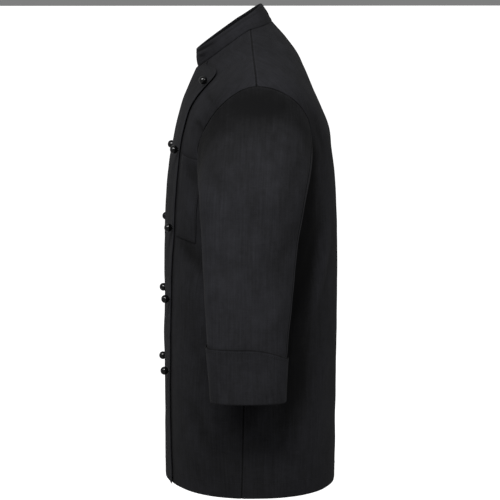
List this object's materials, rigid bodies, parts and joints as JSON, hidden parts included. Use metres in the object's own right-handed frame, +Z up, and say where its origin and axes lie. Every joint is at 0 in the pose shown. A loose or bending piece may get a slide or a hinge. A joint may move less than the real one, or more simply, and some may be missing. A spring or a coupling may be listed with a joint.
{
  "type": "chef jacket",
  "caption": "Long double-breasted jacket with a stand collar, set-in sleeves with turned-up cuffs, a breast patch pocket and ball buttons, filled out as worn.",
  "frame": {"origin": "the centre plane, level with the two points where the shoulder seams meet the collar", "axes": "+Z up, -Y the jacket's front, +X the wearer's left"},
  "size_m": [0.6144, 0.294, 0.7801],
  "materials": {
    "cloth_body": "black cotton twill",
    "cloth_collar": "black cotton twill, two layers",
    "cloth_sleeve": "black cotton twill",
    "cloth_cuff": "black cotton twill, turned up",
    "cloth_pocket": "black cotton twill",
    "button": "polished black"
  },
  "bodies": {
    "root": {"front_right": "cloth_body", "front_left": "cloth_body", "back": "cloth_body", "collar": "cloth_collar", "sleeve_left_upper": "cloth_sleeve", "sleeve_left_under": "cloth_sleeve", "sleeve_right_upper": "cloth_sleeve", "sleeve_right_under": "cloth_sleeve", "cuff_left": "cloth_cuff", "cuff_right": "cloth_cuff", "pocket_breast": "cloth_pocket", "button_left_1": "button", "button_left_2": "button", "button_left_3": "button", "button_left_4": "button", "button_left_5": "button", "button_right_1": "button", "button_right_2": "button", "button_right_3": "button", "button_right_4": "button", "button_right_5": "button"}
  },
  "joints": []
}
